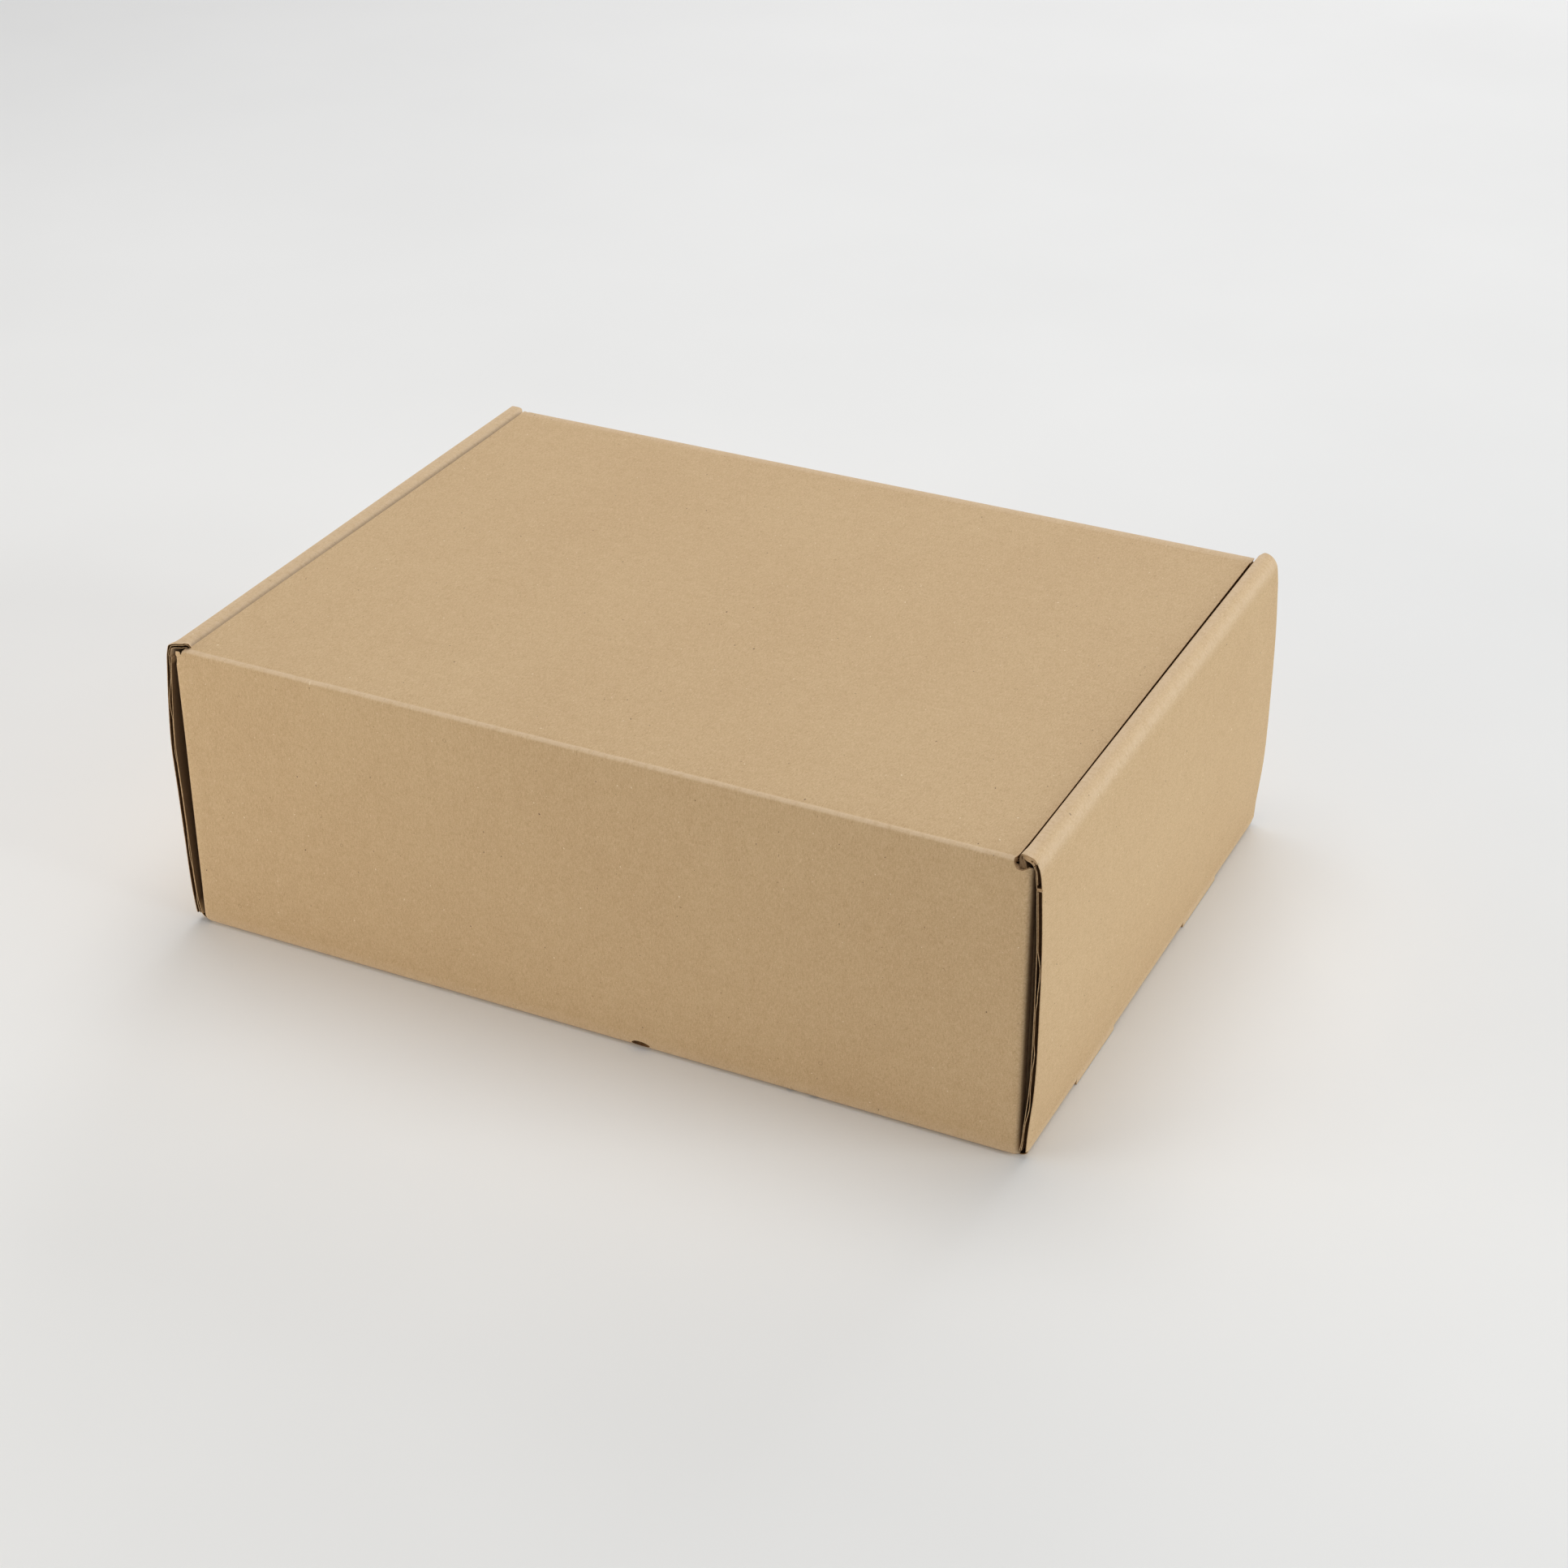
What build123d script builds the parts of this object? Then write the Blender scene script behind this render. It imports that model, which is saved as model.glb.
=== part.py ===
from build123d import *
import os

os.makedirs("parts", exist_ok=True)

# Roll-end mailer box folded from one die-cut sheet of single-wall corrugated
# board, in millimetres.  +X runs along the length, -Y is the long wall that
# carries the lid, +Y is the long wall that the lid tucks behind, +Z is up.
# The origin is the middle of the underside.

# ---- driving dimensions ----------------------------------------------------
length = 400.0          # across the two side walls at their foot
depth = 289.0           # across the two long walls
lid_top = 138.6         # top face of the closed lid
board = 3.0             # board thickness
slit = 0.1              # air between two layers that lie on each other

bow_left = 3.6          # how far the -X side wall stands out at mid height
bow_right = 2.5         # the same for the +X side wall

left_roll_top = 138.4   # flat roll: creased shoulder, sloping inner edge
left_shoulder = 1.6     # radius of that shoulder
left_slope = 4.8        # radius of the slope down to the inner panel
right_roll_top = 141.0  # puffed roll: round shoulder, creased inner edge
right_puff = 7.0        # radius of that shoulder

lid_side_gap = 0.7      # lid edge to the roll beside it
hinge_gap = 0.3         # lid underside to the walls under it
side_recess = 0.4       # raw ends of the side walls behind the long walls' faces

notch_x, notch_z = 10.2, 6.2    # notch in each top corner of the long walls
foot_cut = 6.5          # how far the long walls' bottom fold stops short of a corner

dust_len = 112.0        # dust flaps, inside the rolled side walls
dust_taper = 4.0

slot_pitch = 66.0       # centre of each foot slot, either side of the middle
slot_len = 44.0
tab_len = 41.0
tab_clear = 0.4         # tab tip above the underside

tuck_depth = 50.0       # tuck flap, top edge to free edge
tuck_half_top = 186.0
tuck_half_low = 179.0
tuck_corner = 16.0
tuck_clear = 2.0        # tuck flap to the front wall
tuck_gap = 0.35         # top edge of the tuck flap to the lid

lid_front = 142.8       # front edge of the lid
lid_front_round = 2.4
lid_corner = 2.4

# ---- derived positions -----------------------------------------------------
half = board / 2
x_out = length / 2
y_out = depth / 2
y_in = y_out - board                     # inner face of the long walls
y_mid = y_out - half
y_raw = y_out - side_recess              # raw ends of the side walls

x_wall_in = x_out - board                # inner face of the outer side panel
x_dust_out = x_wall_in - slit
x_dust_in = x_dust_out - board
x_inner_out = x_dust_in - slit           # inner side panel
x_inner_in = x_inner_out - board
x_inner_mid = x_inner_in + half

lid_under = lid_top - board
wall_top = lid_under - hinge_gap         # top edge of the long walls
hinge_y, hinge_z = -y_out + half, lid_top - half
lid_half = x_inner_in - lid_side_gap
notch_foot = lid_top - notch_z
tuck_out = y_in - tuck_clear             # face of the tuck flap nearest the front wall
tuck_in = tuck_out - board
tuck_top = lid_under - tuck_gap
shoulder_z = left_roll_top - left_shoulder
slope_x = x_inner_in + left_slope        # where the -X roll starts to slope down
slope_z = left_roll_top - left_slope
puff_x = x_out + 0.3 - right_puff        # centre of the +X roll's round shoulder
puff_z = right_roll_top - right_puff

# ---- tray: base, long walls with dust flaps, rolled side walls -------------
with BuildPart() as tray:
    # base
    with BuildSketch(Plane.XY) as base_plan:
        Rectangle(2 * x_wall_in, 2 * y_in)
    extrude(amount=board)

    # long walls, with the fold that joins each to the base
    with BuildSketch(Plane.YZ) as long_section:
        with BuildLine() as long_path:
            Line((-y_in + 12, half), (-y_in, half))
            RadiusArc((-y_in, half), (-y_mid, board), half)
            Line((-y_mid, board), (-y_mid, wall_top))
        trace(line_width=board)
        mirror(about=Plane.YZ)
    extrude(amount=x_dust_in, both=True)

    # corner folds from each long wall to its dust flaps
    with BuildSketch(Plane.XY.offset(board + 0.4)) as corner_plan:
        with BuildLine() as corner_path:
            Line((x_dust_in - 6, -y_mid), (x_dust_in, -y_mid))
            RadiusArc((x_dust_in, -y_mid), (x_dust_in + half, -y_in), -half)
            Line((x_dust_in + half, -y_in), (x_dust_in + half, -y_in + 4))
        trace(line_width=board)
        mirror(about=Plane.XZ)
        mirror(about=Plane.YZ)
    extrude(amount=notch_foot - board - 0.4)

    # dust flaps: four tapered leaves just inside the outer side panels
    with BuildSketch(Plane.YZ.offset(x_dust_in)) as dust_outline:
        with BuildLine() as dust_line:
            Polyline(
                (-y_in, board + 0.4),
                (-y_in + 3, board + 0.4),
                (-y_in + dust_len, board + 0.4 + dust_taper),
                (-y_in + dust_len, notch_foot - dust_taper),
                (-y_in + 3, notch_foot),
                (-y_in, notch_foot),
                close=True,
            )
        make_face()
        mirror(about=Plane.YZ)
    dust = extrude(amount=board)
    mirror(dust, about=Plane.YZ)

    # notches in the top corners of the long walls, where the rolls run over
    with BuildSketch(Plane.XZ) as notch_outline:
        with Locations(
            (x_out, (wall_top + notch_foot) / 2), (-x_out, (wall_top + notch_foot) / 2)
        ):
            Rectangle(2 * notch_x, wall_top - notch_foot + 0.01)
        fillet(notch_outline.vertices().group_by(Axis.Y)[0], 2.4)
    extrude(amount=y_out + 1, both=True, mode=Mode.SUBTRACT)

    # +X side wall: up from the base, over a round shoulder to a creased edge
    with BuildSketch(Plane.XZ) as right_section:
        with BuildLine() as right_outline:
            Line((x_wall_in - 12, 0), (x_wall_in, 0))
            RadiusArc((x_wall_in, 0), (x_out, board), -board)
            ThreePointArc(
                (x_out, board), (x_out + bow_right, 68.0), (x_out + 0.3, puff_z)
            )
            ThreePointArc(
                (x_out + 0.3, puff_z),
                (puff_x + 0.72 * right_puff, puff_z + 0.70 * right_puff),
                (x_inner_out, right_roll_top),
            )
            RadiusArc(
                (x_inner_out, right_roll_top),
                (x_inner_in, right_roll_top - board),
                -board,
            )
            Line((x_inner_in, right_roll_top - board), (x_inner_in, notch_foot + 0.3))
            Line((x_inner_in, notch_foot + 0.3), (x_inner_out, notch_foot + 0.3))
            Line((x_inner_out, notch_foot + 0.3), (x_inner_out, right_roll_top - board))
            ThreePointArc(
                (x_inner_out, right_roll_top - board),
                (
                    puff_x + 0.72 * (right_puff - board),
                    puff_z + 0.70 * (right_puff - board),
                ),
                (x_wall_in + 0.3, puff_z),
            )
            ThreePointArc(
                (x_wall_in + 0.3, puff_z), (x_wall_in + bow_right, 68.0), (x_wall_in, board)
            )
            Line((x_wall_in, board), (x_wall_in - 12, board))
            Line((x_wall_in - 12, board), (x_wall_in - 12, 0))
        make_face()
    extrude(amount=y_raw, both=True)

    # -X side wall: a sharp shoulder, then a long slope down to the inner panel
    with BuildSketch(Plane.XZ) as left_section:
        with BuildLine() as left_outline:
            Line((x_wall_in - 12, 0), (x_wall_in, 0))
            RadiusArc((x_wall_in, 0), (x_out, board), -board)
            ThreePointArc(
                (x_out, board), (x_out + bow_left, 78.0), (x_out + 0.1, shoulder_z)
            )
            RadiusArc(
                (x_out + 0.1, shoulder_z),
                (x_out + 0.1 - left_shoulder, left_roll_top),
                -left_shoulder,
            )
            Line((x_out + 0.1 - left_shoulder, left_roll_top), (slope_x, left_roll_top))
            RadiusArc((slope_x, left_roll_top), (x_inner_in, slope_z), -left_slope)
            Line((x_inner_in, slope_z), (x_inner_in, notch_foot + 0.3))
            Line((x_inner_in, notch_foot + 0.3), (x_inner_out, notch_foot + 0.3))
            Line((x_inner_out, notch_foot + 0.3), (x_inner_out, slope_z))
            RadiusArc(
                (x_inner_out, slope_z),
                (slope_x, left_roll_top - board),
                left_slope - board,
            )
            Line(
                (slope_x, left_roll_top - board), (x_wall_in, left_roll_top - board)
            )
            ThreePointArc(
                (x_wall_in, left_roll_top - board),
                (x_wall_in + bow_left, 77.0),
                (x_wall_in, board),
            )
            Line((x_wall_in, board), (x_wall_in - 12, board))
            Line((x_wall_in - 12, board), (x_wall_in - 12, 0))
        make_face()
        mirror(about=Plane.YZ, mode=Mode.REPLACE)
    extrude(amount=y_raw, both=True)

    # inner side panels: down from each roll, between the long walls
    with BuildSketch(Plane.XY.offset(board + slit)) as inner_plan:
        with Locations((x_inner_mid, 0), (-x_inner_mid, 0)):
            Rectangle(board, 2 * (y_in - 0.25))
    extrude(amount=notch_foot + 0.8 - board - slit)

    # foot slots: each reaches the side crease, so the outer panel has a
    # straight tongue there and the inner panel's tab stands in the slot
    with BuildSketch(Plane.XY) as slot_plan:
        with Locations(
            *[
                (sx * (x_inner_in - 0.3 + x_out + 1) / 2, sy * slot_pitch)
                for sx in (-1, 1)
                for sy in (-1, 1)
            ]
        ):
            Rectangle(x_out + 1 - x_inner_in + 0.3, slot_len)
    extrude(amount=board, mode=Mode.SUBTRACT)
    with BuildSketch(Plane.XY) as tongue_plan:
        with Locations(
            *[(sx * (x_out - half), sy * slot_pitch) for sx in (-1, 1) for sy in (-1, 1)]
        ):
            Rectangle(board, slot_len)
    extrude(amount=board + 0.2)
    with BuildSketch(Plane.XY.offset(tab_clear)) as tab_plan:
        with Locations(
            *[(sx * x_inner_mid, sy * slot_pitch) for sx in (-1, 1) for sy in (-1, 1)]
        ):
            Rectangle(board, tab_len)
    extrude(amount=board + 2.0 - tab_clear)
tray.part.label = "tray"

# ---- lid: one panel on a crease along the back wall's top edge -------------
with BuildPart() as lid:
    with BuildSketch(Plane.YZ) as lid_section:
        with BuildLine() as lid_line:
            Line((hinge_y, lid_under), (lid_front, lid_under))
            Line((lid_front, lid_under), (lid_front, lid_top - lid_front_round))
            RadiusArc(
                (lid_front, lid_top - lid_front_round),
                (lid_front - lid_front_round, lid_top),
                -lid_front_round,
            )
            Line((lid_front - lid_front_round, lid_top), (hinge_y, lid_top))
            ThreePointArc(
                (hinge_y, lid_top), (hinge_y - half, hinge_z), (hinge_y, lid_under)
            )
        make_face()
    extrude(amount=lid_half, both=True)
    with BuildSketch(Plane.XY.offset(lid_under - 1)) as lid_plan:
        with Locations((0, (lid_front - y_out) / 2)):
            RectangleRounded(2 * lid_half, lid_front + y_out, lid_corner)
    extrude(amount=board + 2, mode=Mode.INTERSECT)
lid.part.label = "lid"

# ---- tuck flap: hangs from the lid's front crease inside the front wall ----
with BuildPart() as tuck_flap:
    with BuildSketch(Plane.XZ.offset(-tuck_out)) as tuck_outline:
        with BuildLine() as tuck_line:
            Polyline(
                (-tuck_half_top, tuck_top),
                (tuck_half_top, tuck_top),
                (tuck_half_low, tuck_top - tuck_depth),
                (-tuck_half_low, tuck_top - tuck_depth),
                close=True,
            )
        make_face()
        fillet(tuck_outline.vertices().group_by(Axis.Y)[0], tuck_corner)
    extrude(amount=board)
tuck_flap.part.label = "tuck_flap"

export_step(tray.part, "parts/tray.step")
export_step(lid.part, "parts/lid.step")
export_step(tuck_flap.part, "parts/tuck_flap.step")
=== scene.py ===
import math

import bmesh
import bpy
import numpy as np
from mathutils import Matrix, Vector
from mathutils.geometry import delaunay_2d_cdt


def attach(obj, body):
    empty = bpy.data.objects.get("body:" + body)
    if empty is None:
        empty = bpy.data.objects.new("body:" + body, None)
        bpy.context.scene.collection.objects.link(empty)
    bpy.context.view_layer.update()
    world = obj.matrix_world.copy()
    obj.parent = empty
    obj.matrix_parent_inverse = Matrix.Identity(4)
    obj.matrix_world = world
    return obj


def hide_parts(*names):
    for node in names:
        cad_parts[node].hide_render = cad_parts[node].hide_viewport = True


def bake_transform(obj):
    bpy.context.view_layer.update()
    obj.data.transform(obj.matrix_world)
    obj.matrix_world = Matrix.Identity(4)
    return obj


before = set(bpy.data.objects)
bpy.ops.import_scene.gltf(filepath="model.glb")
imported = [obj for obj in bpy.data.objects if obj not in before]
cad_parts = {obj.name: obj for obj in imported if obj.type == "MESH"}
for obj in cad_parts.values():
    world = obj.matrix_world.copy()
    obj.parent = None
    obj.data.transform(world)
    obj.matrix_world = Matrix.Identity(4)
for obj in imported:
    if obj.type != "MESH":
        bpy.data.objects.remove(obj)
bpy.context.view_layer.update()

# ---------------------------------------------------------------------------
# The box is one die-cut sheet of corrugated board.  Each piece below is a part
# of that sheet, drawn flat in blank coordinates (u, v) in millimetres, cut to
# its outline, and folded by a mapping (u, v, w) -> x, y, z, where w runs from
# -1.5 on the inner liner to +1.5 on the outer liner.  Raw edges are open
# board: two thin liners, a dark channel partly painted shade, and the fluted medium between them.
# ---------------------------------------------------------------------------
T = 3.0
H = 1.5
LINER = 0.34
PITCH = 6.4
X_OUT, Y_OUT, LID_TOP = 200.0, 144.5, 138.6
Y_IN = Y_OUT - T
X_DUST = 196.9            # outer face of the dust flaps
X_IN = 190.8              # inner face of the side walls
LID_HALF = 190.1
WALL_TOP = 135.3
R_MID = 1.7               # fold radius at mid board
ARC = R_MID * math.pi / 2


class Noise:
    """Smooth value noise in one or two dimensions, seeded."""

    def __init__(self, seed, scale):
        self.t = np.random.default_rng(seed).uniform(-1, 1, (64, 512))
        self.s = scale

    def __call__(self, x, y=0.0):
        x, y = np.asarray(x, float) / self.s + 1000.3, np.asarray(y, float) / self.s + 1000.7
        i, j = np.floor(x).astype(int), np.floor(y).astype(int)
        a, b = x - i, y - j
        a, b = a * a * (3 - 2 * a), b * b * (3 - 2 * b)
        t = self.t
        g = lambda p, q: t[q % 64, p % 512]
        return (g(i, j) * (1 - a) + g(i + 1, j) * a) * (1 - b) + (g(i, j + 1) * (1 - a) + g(i + 1, j + 1) * a) * b


def smooth(e0, e1, x):
    t = np.clip((np.asarray(x, float) - e0) / (e1 - e0), 0, 1)
    return t * t * (3 - 2 * t)


def bump(x, at, width):
    return np.exp(-(((np.asarray(x, float) - at) / width) ** 2))


class Path:
    """A fold path: matching outer-liner and inner-liner stations, by length."""

    def __init__(self):
        self.o, self.i = [], []

    def add(self, outer, inner):
        self.o.append(outer)
        self.i.append(inner)

    def line(self, a, b, normal, steps=1):
        for k in range(steps + 1):
            f = k / steps
            p = (a[0] + (b[0] - a[0]) * f, a[1] + (b[1] - a[1]) * f)
            self.add((p[0] + normal[0] * H, p[1] + normal[1] * H), (p[0] - normal[0] * H, p[1] - normal[1] * H))

    def arc(self, centre, a0, a1, r_out, r_in, steps=8):
        for k in range(steps + 1):
            a = math.radians(a0 + (a1 - a0) * k / steps)
            c, s = math.cos(a), math.sin(a)
            self.add((centre[0] + r_out * c, centre[1] + r_out * s), (centre[0] + r_in * c, centre[1] + r_in * s))

    def done(self, zero=0.0):
        o, i = np.array(self.o), np.array(self.i)
        m = (o + i) / 2
        d = np.linalg.norm(np.diff(m, axis=0), axis=1)
        keep = np.concatenate([[True], d > 1e-4])
        o, i, m = o[keep], i[keep], m[keep]
        self.outer, self.inner = o, i
        self.v = np.concatenate([[0], np.cumsum(np.linalg.norm(np.diff(m, axis=0), axis=1))]) + zero
        return self

    def at(self, v, w):
        """Points at length v and board height w (mm, -1.5 inner to 1.5 outer)."""
        f = (np.asarray(w, float) + H) / T
        p = []
        for k in (0, 1):
            o = np.interp(v, self.v, self.outer[:, k])
            i = np.interp(v, self.v, self.inner[:, k])
            p.append(i + (o - i) * f)
        return p


def spread(values, step):
    """Sorted lines with no gap over step."""
    values = sorted(set(np.round(values, 4)))
    out = [values[0]]
    for a, b in zip(values, values[1:]):
        n = max(1, math.ceil((b - a) / step - 1e-6))
        out += [a + (b - a) * (k + 1) / n for k in range(n)]
    return np.array(out)


def inside(points, loop):
    """Even-odd test of points against one closed loop."""
    x, y = points[:, 0], points[:, 1]
    hit = np.zeros(len(points), bool)
    a = np.asarray(loop)
    b = np.roll(a, -1, axis=0)
    for (x0, y0), (x1, y1) in zip(a, b):
        if y0 == y1:
            continue
        c = (y0 > y) != (y1 > y)
        hit ^= c & (x < (x1 - x0) * (y - y0) / (y1 - y0) + x0)
    return hit


def distance(points, loop):
    """Least distance from each point to a closed loop."""
    a = np.asarray(loop, float)
    b = np.roll(a, -1, axis=0)
    best = np.full(len(points), 1e9)
    for p, q in zip(a, b):
        d = q - p
        l2 = d @ d
        t = np.clip(((points - p) @ d) / max(l2, 1e-12), 0, 1)
        best = np.minimum(best, np.hypot(*(points - p - t[:, None] * d).T))
    return best


def fill(loops, us, vs, margin):
    """Triangles over the region inside loops[0] and outside the other loops."""
    grid = np.array([(u, v) for v in vs for u in us])
    ok = inside(grid, loops[0])
    for hole in loops[1:]:
        ok &= ~inside(grid, hole)
    grid = grid[ok]
    for loop in loops:
        grid = grid[distance(grid, loop) > margin]
    points, edges = [], []
    for loop in loops:
        n0 = len(points)
        points += [tuple(p) for p in loop]
        edges += [(n0 + k, n0 + (k + 1) % len(loop)) for k in range(len(loop))]
    edge_count = len(points)
    points += [tuple(p) for p in grid]
    out = delaunay_2d_cdt([Vector(p) for p in points], edges, [], 0, 1e-7)
    back = np.full(len(out[0]), -1)
    for k, origin in enumerate(out[3]):
        if origin:
            back[k] = min(origin)
    tris = np.array([[back[i] for i in f] for f in out[2]])
    tris = tris[(tris >= 0).all(axis=1)]
    pts = np.array(points)
    mid = pts[tris].mean(axis=1)
    keep = inside(mid, loops[0])
    for hole in loops[1:]:
        keep &= ~inside(mid, hole)
    tris = tris[keep]
    a, b, c = (pts[tris[:, k]] for k in range(3))
    area = (b[:, 0] - a[:, 0]) * (c[:, 1] - a[:, 1]) - (b[:, 1] - a[:, 1]) * (c[:, 0] - a[:, 0])
    tris[area < 0] = tris[area < 0][:, ::-1]
    return pts, tris[np.abs(area) > 1e-9], edge_count


def sample(corners, kinds, us, vs, step):
    """A loop's points and the kind of each edge: corners joined, with points where the loop crosses a line of the grid."""
    pts, ks = [], []
    for k, p in enumerate(corners):
        p, q = np.array(p, float), np.array(corners[(k + 1) % len(corners)], float)
        d = q - p
        length = np.hypot(*d)
        ts = [0.0]
        if kinds[k] != "arc":
            n = max(1, math.ceil(length / step))
            ts += [j / n for j in range(1, n)]
            for axis, lines in ((0, us), (1, vs)):
                if abs(d[axis]) > 1e-6 and abs(d[1 - axis]) < 1e-6:
                    t = (lines - p[axis]) / d[axis]
                    ts += list(t[(t > 1e-6) & (t < 1 - 1e-6)])
        ts = sorted(ts)
        kept = [ts[0]]
        for t in ts[1:]:
            if (t - kept[-1]) * length > 0.12 and (1 - t) * length > 0.12:
                kept.append(t)
        for t in kept:
            pts.append(p + d * t)
            ks.append("raw" if kinds[k] == "arc" else kinds[k])
    return np.array(pts), ks


def rounded(corners, kinds, radii):
    """Corner list with some corners rounded; the short edges of a round are raw."""
    out, ks = [], []
    n = len(corners)
    for k in range(n):
        p, r = np.array(corners[k], float), radii.get(k, 0)
        if not r:
            out.append(tuple(p))
            ks.append(kinds[k])
            continue
        a, b = np.array(corners[k - 1], float), np.array(corners[(k + 1) % n], float)
        ua, ub = (a - p) / np.hypot(*(a - p)), (b - p) / np.hypot(*(b - p))
        half = math.acos(np.clip(ua @ ub, -1, 1)) / 2
        t = r / math.tan(half)
        centre = p + (ua + ub) / np.hypot(*(ua + ub)) * r / math.sin(half)
        s, e = p + ua * t - centre, p + ub * t - centre
        a0, a1 = math.atan2(s[1], s[0]), math.atan2(e[1], e[0])
        da = (a1 - a0 + math.pi) % (2 * math.pi) - math.pi
        steps = max(3, int(abs(da) / 0.26))
        for j in range(steps + 1):
            ang = a0 + da * j / steps
            out.append((centre[0] + r * math.cos(ang), centre[1] + r * math.sin(ang)))
            ks.append(("arc" if kinds[k] == "raw" else "flat") if j < steps else kinds[k])
    return out, ks


class Mesh:
    """Vertices, faces and materials of one piece, with each vertex's place in the blank."""

    def __init__(self):
        self.p, self.q, self.f, self.m = [], [], [], []
        self.n = 0

    def verts(self, places, blank):
        start = self.n
        self.p.append(np.asarray(places, float))
        self.q.append(np.asarray(blank, float))
        self.n += len(places)
        return start

    def face(self, indices, material):
        self.f.append(tuple(int(i) for i in indices))
        self.m.append(material)

    def build(self, name, materials, sharp=38):
        mesh = bpy.data.meshes.new(name)
        p = np.concatenate(self.p) * 0.001
        mesh.from_pydata(p.tolist(), [], self.f)
        for m in materials:
            mesh.materials.append(m)
        mesh.polygons.foreach_set("material_index", np.array(self.m, np.int32))
        mesh.polygons.foreach_set("use_smooth", np.ones(len(self.f), bool))
        a = mesh.attributes.new("blank", "FLOAT_VECTOR", "POINT")
        a.data.foreach_set("vector", np.concatenate(self.q).astype(np.float32).ravel())
        bm = bmesh.new()
        bm.from_mesh(mesh)
        bmesh.ops.recalc_face_normals(bm, faces=bm.faces)
        limit = math.radians(sharp)
        for e in bm.edges:
            fs = e.link_faces
            if len(fs) != 2 or fs[0].material_index != fs[1].material_index:
                e.smooth = False
            else:
                e.smooth = e.calc_face_angle(0) < limit
        bm.to_mesh(mesh)
        bm.free()
        mesh.update()
        o = bpy.data.objects.new(name, mesh)
        bpy.context.collection.objects.link(o)
        return o


wander_n = Noise(15, 30.0)
LINER_M, EDGE_M, MEDIUM_AND_SHADE_M = 0, 1, 2


def board(mesh, mapping, loops, us, vs, place, depth=3.6, wander=wander_n, lean=-1.0, pits=()):
    """Adds a cut piece of board. loops are (points, kinds); kinds are raw (open flutes) or flat (closed).
    place turns the drawing's coordinates into blank coordinates, where the flutes run along the first."""
    plain = [lp[0] for lp in loops]
    pts, tris, rim = fill(plain, us, vs, 0.45)
    outer_pts, outer_tris = pts, tris
    if pits:
        outer_pts, outer_tris, _ = fill(plain + [p[0] for p in pits], us, vs, 0.3)

    def add(p, w):
        bu, bv = place(p[:, 0], p[:, 1])
        ww = np.full(len(p), float(w)) if np.ndim(w) == 0 else w
        return mesh.verts(mapping(p[:, 0], p[:, 1], ww), np.c_[bu, bv, ww])

    o0 = add(outer_pts, H)
    for t in outer_tris:
        mesh.face(o0 + t, LINER_M)
    i0 = add(pts, -H)
    for t in tris:
        mesh.face(i0 + t[::-1], LINER_M)
    # pits are thin cracks in the outer liner
    k0 = rim
    for low, down in pits:
        n = len(low)
        mid = low.mean(axis=0)
        r1 = add(mid + (low - mid) * 0.8, H - down)
        for k in range(n):
            j = (k + 1) % n
            mesh.face((o0 + k0 + k, o0 + k0 + j, r1 + j, r1 + k), MEDIUM_AND_SHADE_M)
        mesh.face([r1 + k for k in range(n)], MEDIUM_AND_SHADE_M)
        k0 += n
    start = 0
    for lp, (loop, kinds) in enumerate(loops):
        n = len(loop)
        nxt, prv = np.roll(loop, -1, axis=0), np.roll(loop, 1, axis=0)
        d1, d0 = nxt - loop, loop - prv
        d1 = d1 / np.maximum(np.hypot(*d1.T), 1e-9)[:, None]
        d0 = d0 / np.maximum(np.hypot(*d0.T), 1e-9)[:, None]
        area = 0.5 * np.sum(loop[:, 0] * nxt[:, 1] - nxt[:, 0] * loop[:, 1])
        # the board lies on the left of an anticlockwise outline, and on the right of an anticlockwise hole
        side = (1.0 if area > 0 else -1.0) * (1.0 if lp == 0 else -1.0)
        n1, n0 = np.c_[-d1[:, 1], d1[:, 0]] * side, np.c_[-d0[:, 1], d0[:, 0]] * side
        nn = n1 + n0
        ln = np.hypot(*nn.T)
        nn = np.where(ln[:, None] > 0.2, nn / np.maximum(ln, 1e-9)[:, None], n1)
        nn = nn * np.minimum(1.3, 1 / np.maximum(0.5, np.sum(nn * n1, axis=1)))[:, None]
        raw = [k == "raw" for k in kinds]
        open_ = [raw[k] or raw[k - 1] for k in range(n)]
        deep = loop + nn * depth
        c = H - LINER
        rings = {0: o0 + start, 5: i0 + start}
        if any(open_):
            rings.update({1: add(loop, c), 2: add(deep, c), 3: add(deep, -c), 4: add(loop, -c)})
        g = lambda r, k: rings[r] + k
        for k in range(n):
            j = (k + 1) % n
            if raw[k]:
                for r, mat in ((0, EDGE_M), (1, MEDIUM_AND_SHADE_M), (2, MEDIUM_AND_SHADE_M), (3, MEDIUM_AND_SHADE_M), (4, EDGE_M)):
                    mesh.face((g(r, k), g(r, j), g(r + 1, j), g(r + 1, k)), mat)
            else:
                ring = [g(0, k), g(0, j)]
                ring += [g(1, j), g(4, j)] if open_[j] else []
                ring += [g(5, j), g(5, k)]
                ring += [g(4, k), g(1, k)] if open_[k] else []
                mesh.face(ring, EDGE_M)
            if open_[k] and raw[k] != raw[k - 1]:
                mesh.face((g(1, k), g(2, k), g(3, k), g(4, k)), MEDIUM_AND_SHADE_M)
        # the medium shows along each straight stretch of raw edge
        turn = np.sum(d1 * d0, axis=1) < 0.9
        run = []
        for k in range(n + 1):
            i = k % n
            if run and (turn[i] or not raw[i - 1]):
                if raw[i - 1]:
                    run.append(i)
                medium(mesh, mapping, loop[run], nn[run], place, depth, wander, lean)
                run = []
            if k < n and raw[i]:
                run.append(i)
        if len(run) > 1:
            medium(mesh, mapping, loop[run], nn[run], place, depth, wander, lean)
        start += n


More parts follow.
